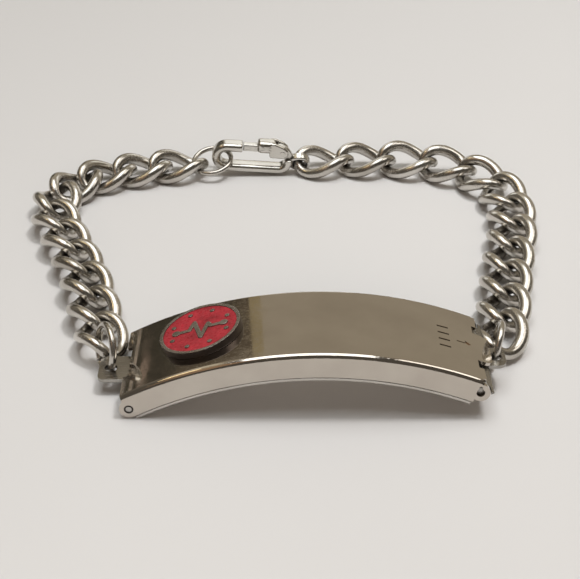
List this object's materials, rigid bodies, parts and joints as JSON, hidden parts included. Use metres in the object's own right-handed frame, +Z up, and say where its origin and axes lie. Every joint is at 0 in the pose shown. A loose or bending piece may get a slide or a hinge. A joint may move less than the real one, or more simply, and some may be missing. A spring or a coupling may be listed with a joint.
{
  "type": "medical alert bracelet",
  "caption": "Closed steel wrist bracelet: a curved lidded plate with a round enamelled badge, curb chains, split rings and a hook clasp with a sprung lever.",
  "frame": {"origin": "The middle of the wrist hollow, halfway between the hinge lug and the back of the loop, on the table plane the bracelet lies on.", "axes": "+Z up off the table, +X along the plate from the hinge end to the catch end, +Y from the plate across the hollow to the clasp."},
  "size_m": [0.0722, 0.0673, 0.0089],
  "materials": {
    "plate_steel": "polished stainless steel with fine scratches",
    "badge_steel": "bright stainless steel rim and figure",
    "red_enamel": "glossy red enamel",
    "chain_steel": "bright polished stainless steel wire, slightly tarnished in the recesses",
    "clasp_steel": "polished stainless steel"
  },
  "bodies": {
    "frame": {"base_tray": "plate_steel", "hinge_pin": "plate_steel", "catch_pin": "plate_steel", "hinge_lug": "plate_steel", "catch_lug": "plate_steel", "left_ring": "chain_steel", "right_ring": "chain_steel", "clasp_ring": "chain_steel", "clasp_body": "clasp_steel", "left_link_1": "chain_steel", "left_link_2": "chain_steel", "left_link_3": "chain_steel", "left_link_4": "chain_steel", "left_link_5": "chain_steel", "left_link_6": "chain_steel", "left_link_7": "chain_steel", "left_link_8": "chain_steel", "left_link_9": "chain_steel", "left_link_10": "chain_steel", "left_link_11": "chain_steel", "right_link_1": "chain_steel", "right_link_2": "chain_steel", "right_link_3": "chain_steel", "right_link_4": "chain_steel", "right_link_5": "chain_steel", "right_link_6": "chain_steel", "right_link_7": "chain_steel", "right_link_8": "chain_steel", "right_link_9": "chain_steel", "right_link_10": "chain_steel", "right_link_11": "chain_steel", "right_link_12": "chain_steel"},
    "lid": {"lid": "plate_steel", "badge_disc": "badge_steel", "badge_enamel": "red_enamel"},
    "lever": {"clasp_lever": "clasp_steel"}
  },
  "joints": [
    {"name": "lid_hinge", "type": "hinge", "parent": "frame", "child": "lid", "pos_m": [-0.0197, -0.02873, 0.0013], "axis": [0, -1, 0], "range_deg": [0, 40]},
    {"name": "clasp_lever", "type": "hinge", "parent": "frame", "child": "lever", "pos_m": [-0.00244, 0.02765, 0.00378], "axis": [0.0128, -0.9999, 0], "range_deg": [0, 15], "stiffness_Nm_per_rad": 0.0001, "springref_deg": -11.46}
  ]
}
